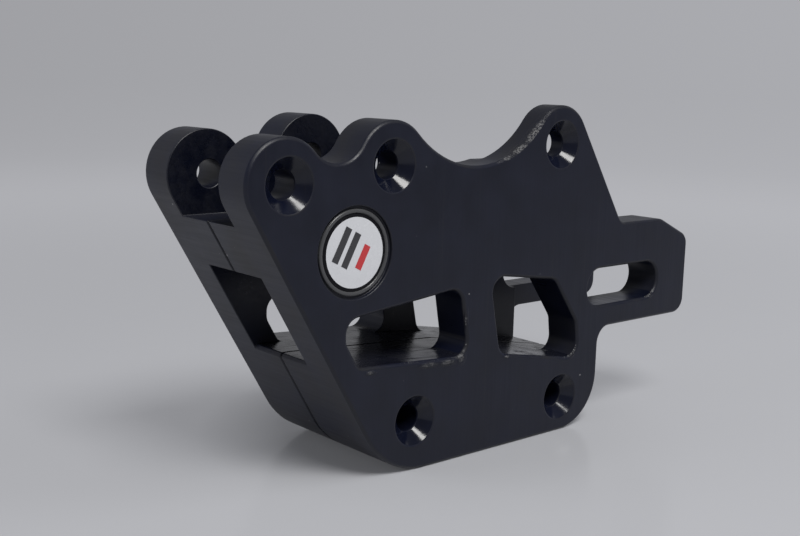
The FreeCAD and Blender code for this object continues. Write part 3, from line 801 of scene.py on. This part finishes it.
class GUIDE_OT_burrs(bpy.types.Operator):
    """Scatter the small burrs that the cutter left on the rims of the windows and the slot"""
    bl_idname = "guide.burrs"
    bl_label = "Add the burrs"

    def execute(self, context):
        settings = context.scene.guide.burrs
        material = enamel("torn_plastic", settings.tone, rough=0.4, grain=0.6, coat=0.0)
        tree = burr_tree()
        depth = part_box("outer_half")[0].y + settings.depth
        for number, (name, (points, scale)) in enumerate(BURR_RUNS.items()):
            path = bpy.data.meshes.new(name)
            path.from_pydata([(x * MM, depth, z * MM) for x, z in points],
                             [(start, start + 1) for start in range(len(points) - 1)], [])
            inputs = {"Spacing": settings.spacing, "Size": settings.size * scale,
                      "Seed": settings.seed + number, "Material": material}
            add_piece(name, made_by_nodes(name, tree, inputs, path))
        return {"FINISHED"}


# The stage

TABLE_STEPS = 96
FLAT_STEPS = 5
SWEEP_STEPS = 12
# The table is lit near the guide and even further out: radii in metres, and shares of even light.
NEAR_RING = (0.045, 0.070)
NEAR_SHARE = (0.06, 0.39)
FAR_RING = (0.12, 0.70)
FAR_SHARE = (0.0, 0.61)
# The even light weakens up the wall: radii in metres, and strengths.
EVEN_RING = (0.30, 1.30)
EVEN_STRENGTH = (1.13, 0.90)
# Its colour changes across the view, and from the camera's side to the far side: places in metres.
VIEW_RIGHT = (0.755, -0.656, 0.0)
LEFT_TO_RIGHT = (-0.7, 0.7)
FRONT_TO_FAR = (-0.80, -0.18)
WARM_WHITE = (1.0, 0.99, 0.97)
COOL_WHITE = (0.98, 0.99, 1.0)
SKY_WHITE = (0.97, 0.98, 1.0, 1.0)
# The camera's sensor in millimetres, and the nearest that it sees in metres.
SENSOR_WIDTH = 36.0
NEAREST = 0.01


def table_material(settings):
    """A pale table that is lit near the guide and even further out."""
    shader = Shader("pale_table")
    cloud = shader.noise(shader.where, scale=6.0, detail=3.0)
    tone = shader.blend(cloud, shade(settings.floor, 0.97), settings.floor)
    gloss = shader.ramp(cloud, span=(0.3, 0.7), result=(0.14, 0.20))
    lit = shader.surface(tone, gloss, IOR=1.22)
    reach = shader.length(shader.stretched((1.0, 1.0, 0.0)))
    near = shader.ramp(reach, NEAR_RING, NEAR_SHARE)
    far = shader.ramp(reach, FAR_RING, FAR_SHARE)
    far.node.interpolation_type = "SMOOTHSTEP"
    aside = shader.node("ShaderNodeVectorMath", operation="DOT_PRODUCT")
    aside.inputs[1].default_value = VIEW_RIGHT
    shader.link(shader.where, aside.inputs[0])
    across = shader.ramp(aside.outputs["Value"], LEFT_TO_RIGHT)
    wall = shader.blend(across, settings.left, settings.right)
    axes = shader.node("ShaderNodeSeparateXYZ")
    shader.link(shader.where, axes.inputs["Vector"])
    wall = shader.blend(shader.ramp(axes.outputs["Y"], FRONT_TO_FAR), settings.front, wall)
    even = shader.node("ShaderNodeEmission")
    shader.link(wall, even.inputs["Color"])
    shader.link(shader.ramp(reach, EVEN_RING, EVEN_STRENGTH), even.inputs["Strength"])
    mix = shader.node("ShaderNodeMixShader")
    shader.link(shader.maths("ADD", near, far), mix.inputs["Fac"])
    shader.link(lit, mix.inputs[1])
    shader.link(even.outputs["Emission"], mix.inputs[2])
    return shader.end(mix.outputs["Shader"])


def add_table(settings):
    """A round table that sweeps up into a wall."""
    profile = [(settings.flat * step / FLAT_STEPS, 0.0) for step in range(FLAT_STEPS + 1)]
    for step in range(1, SWEEP_STEPS + 1):
        angle = math.pi / 2 * step / SWEEP_STEPS
        profile.append((settings.flat + settings.sweep * math.sin(angle),
                        settings.sweep * (1.0 - math.cos(angle))))
    profile.append((settings.flat + settings.sweep, settings.height))
    mesh = turned("table", profile, TABLE_STEPS)
    for facet in mesh.polygons:
        facet.use_smooth = True
    mesh.materials.append(table_material(settings))
    table = bpy.data.objects.new("table", mesh)
    bpy.context.scene.collection.objects.link(table)


def add_sky(scene, settings):
    """Even light from all round."""
    world = bpy.data.worlds.new("studio")
    world.use_nodes = True
    scene.world = world
    light = world.node_tree.nodes["Background"]
    light.inputs["Color"].default_value = SKY_WHITE
    light.inputs["Strength"].default_value = settings.sky


def add_lamp(name, power, place, aim, width, colour, in_reflections=True):
    """A square lamp that looks at a point and stays out of the camera's sight."""
    lamp = bpy.data.lights.new(name, "AREA")
    lamp.shape = "SQUARE"
    lamp.size = width
    lamp.energy = power
    lamp.color = colour
    item = bpy.data.objects.new(name, lamp)
    item.location = place
    item.rotation_euler = (Vector(aim) - Vector(place)).to_track_quat("-Z", "Y").to_euler()
    item.visible_camera = False
    item.visible_glossy = in_reflections
    bpy.context.scene.collection.objects.link(item)


def add_camera(scene, settings):
    """A camera at its place, turned by its yaw, pitch and roll."""
    ahead = Vector((math.sin(settings.yaw) * math.cos(settings.pitch),
                    math.cos(settings.yaw) * math.cos(settings.pitch),
                    -math.sin(settings.pitch)))
    level = Vector((math.cos(settings.yaw), -math.sin(settings.yaw), 0.0))
    right = math.cos(settings.roll) * level + math.sin(settings.roll) * ahead.cross(level)
    upward = right.cross(ahead)
    data = bpy.data.cameras.new("camera")
    data.sensor_fit = "HORIZONTAL"
    data.sensor_width = SENSOR_WIDTH
    data.lens = settings.lens
    data.clip_start = NEAREST
    camera = bpy.data.objects.new("camera", data)
    turn = Matrix((right, upward, -ahead)).transposed().to_4x4()
    camera.matrix_world = Matrix.Translation(settings.place) @ turn
    scene.collection.objects.link(camera)
    scene.camera = camera


class GUIDE_OT_stage(bpy.types.Operator):
    """Make the table, the backdrop, the lamps and the camera"""
    bl_idname = "guide.stage"
    bl_label = "Set the stage"

    def execute(self, context):
        settings = context.scene.guide.stage
        add_table(settings)
        add_sky(context.scene, settings)
        add_lamp("key_lamp", settings.key, place=(-0.12, -0.49, 0.776), aim=(0.0, 0.0, 0.04),
                 width=0.34, colour=WARM_WHITE)
        add_lamp("side_lamp", settings.side, place=(0.68, -0.44, 0.52), aim=(0.0, 0.0, 0.03),
                 width=0.40, colour=COOL_WHITE, in_reflections=False)
        add_lamp("fill_lamp", settings.fill, place=(-0.72, 0.38, 0.22), aim=(0.0, 0.0, 0.04),
                 width=0.45, colour=COOL_WHITE, in_reflections=False)
        add_camera(context.scene, settings)
        context.scene.view_settings.view_transform = "Standard"
        return {"FINISHED"}


class GUIDE_PT_panel(bpy.types.Panel):
    """The guide's steps and settings, in order"""
    bl_label = "Chain guide"
    bl_idname = "GUIDE_PT_panel"
    bl_space_type = "VIEW_3D"
    bl_region_type = "UI"
    bl_category = "Guide"

    def draw(self, context):
        guide = context.scene.guide
        for step, group in ((GUIDE_OT_halves, guide.plastic), (GUIDE_OT_badge, guide.badge),
                            (GUIDE_OT_burrs, guide.burrs), (GUIDE_OT_stage, guide.stage)):
            box = self.layout.box()
            box.operator(step.bl_idname)
            for name in group.bl_rna.properties.keys():
                if name not in ("rna_type", "name"):
                    box.prop(group, name)


CLASSES = (PlasticSettings, BadgeSettings, BurrSettings, StageSettings, GuideSettings,
           GUIDE_OT_halves, GUIDE_OT_badge, GUIDE_OT_burrs, GUIDE_OT_stage, GUIDE_PT_panel)


def register():
    for item in CLASSES:
        bpy.utils.register_class(item)
    bpy.types.Scene.guide = PointerProperty(type=GuideSettings)


def unregister():
    del bpy.types.Scene.guide
    for item in reversed(CLASSES):
        bpy.utils.unregister_class(item)


def main():
    register()
    bpy.ops.guide.halves()
    bpy.ops.guide.badge()
    bpy.ops.guide.burrs()
    bpy.ops.guide.stage()
    bpy.context.view_layer.update()


if __name__ == "__main__":
    main()
